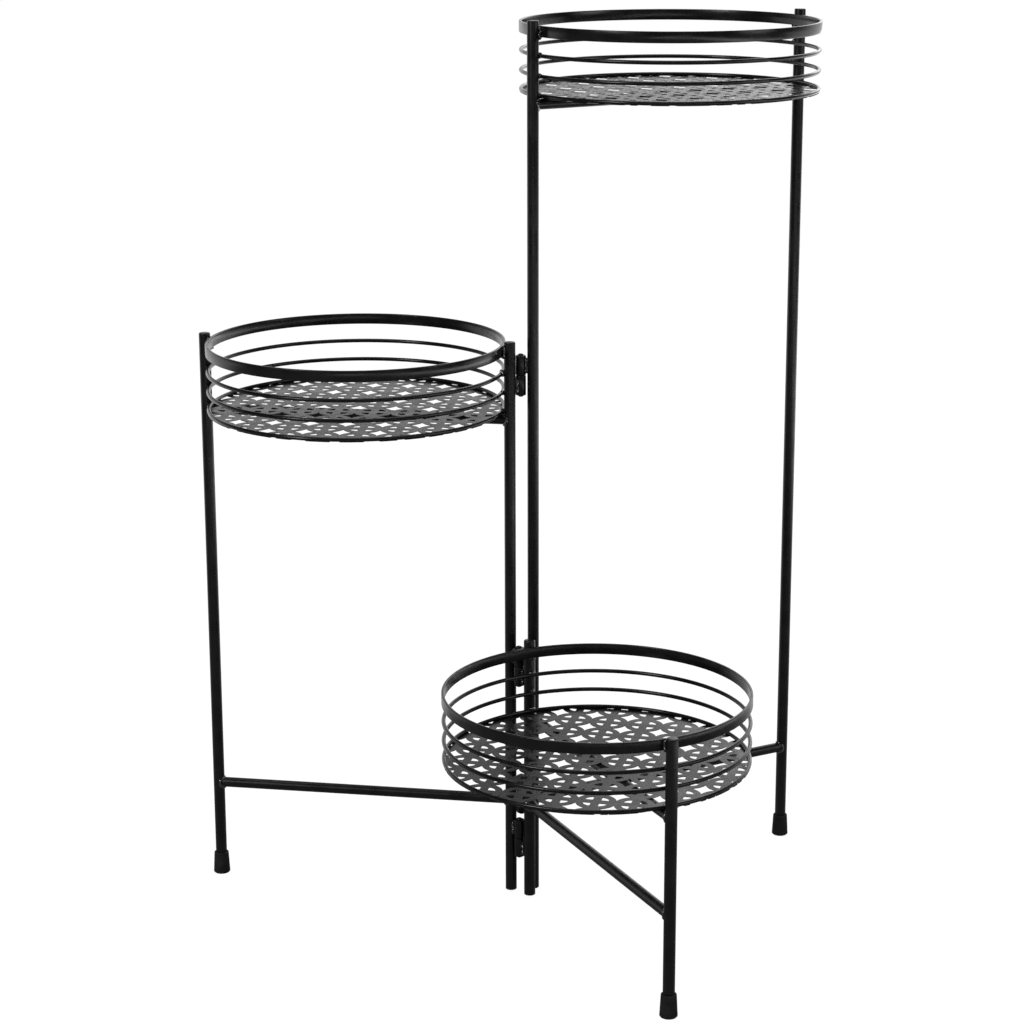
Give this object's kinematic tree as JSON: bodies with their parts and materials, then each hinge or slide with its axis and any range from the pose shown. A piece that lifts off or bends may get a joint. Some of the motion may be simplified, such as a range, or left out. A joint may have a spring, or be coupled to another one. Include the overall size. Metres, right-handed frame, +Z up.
{
  "type": "plant stand",
  "caption": "Folding three-tier plant stand of round tube, with round wire baskets on pierced floors at three heights, hinged at the inner legs.",
  "frame": {"origin": "on the ground at the centre of the footprint box of the open stand", "axes": "+Z up along the legs, +X to the right and +Y away from the front"},
  "size_m": [0.541, 0.466, 0.7745],
  "materials": {
    "frame_paint": "satin black powder coat on steel tube",
    "basket_paint": "satin black powder coat on steel strip and wire",
    "floor_paint": "satin black powder coat on pierced sheet steel",
    "hinge_paint": "black powder coat over steel barrels and peened pins",
    "weld_paint": "black powder coat pooled over weld beads",
    "rubber": "matt black rubber"
  },
  "bodies": {
    "tall_frame": {"tall_base_wire": "basket_paint", "tall_basket_floor": "floor_paint", "tall_hinge_knuckles": "hinge_paint", "tall_inner_leg": "frame_paint", "tall_lower_bar": "frame_paint", "tall_lower_wire": "basket_paint", "tall_outer_leg": "frame_paint", "tall_rim_band": "basket_paint", "tall_rubber_foot": "rubber", "tall_tray_bar": "frame_paint", "tall_upper_wire": "basket_paint", "tall_welds": "weld_paint"},
    "mid_frame": {"mid_base_wire": "basket_paint", "mid_basket_floor": "floor_paint", "mid_hinge_knuckles": "hinge_paint", "mid_hinge_pins": "hinge_paint", "mid_inner_leg": "frame_paint", "mid_lower_bar": "frame_paint", "mid_lower_wire": "basket_paint", "mid_outer_leg": "frame_paint", "mid_rim_band": "basket_paint", "mid_rubber_foot": "rubber", "mid_tray_bar": "frame_paint", "mid_upper_wire": "basket_paint", "mid_welds": "weld_paint"},
    "low_frame": {"low_base_wire": "basket_paint", "low_basket_floor": "floor_paint", "low_hinge_knuckles": "hinge_paint", "low_inner_leg": "frame_paint", "low_lower_bar": "frame_paint", "low_lower_wire": "basket_paint", "low_outer_leg": "frame_paint", "low_rim_band": "basket_paint", "low_rubber_foot": "rubber", "low_tray_bar": "frame_paint", "low_upper_wire": "basket_paint", "low_welds": "weld_paint"}
  },
  "joints": [
    {"name": "tall_swing", "type": "hinge", "parent": "mid_frame", "child": "tall_frame", "pos_m": [0.01266, 0.03833, 0.091], "axis": [0, 0, 1], "range_deg": [-15, 140.1]},
    {"name": "low_swing", "type": "hinge", "parent": "mid_frame", "child": "low_frame", "pos_m": [0.01057, 0.02611, 0.054], "axis": [0, 0, 1], "range_deg": [-122.9, 15]}
  ]
}
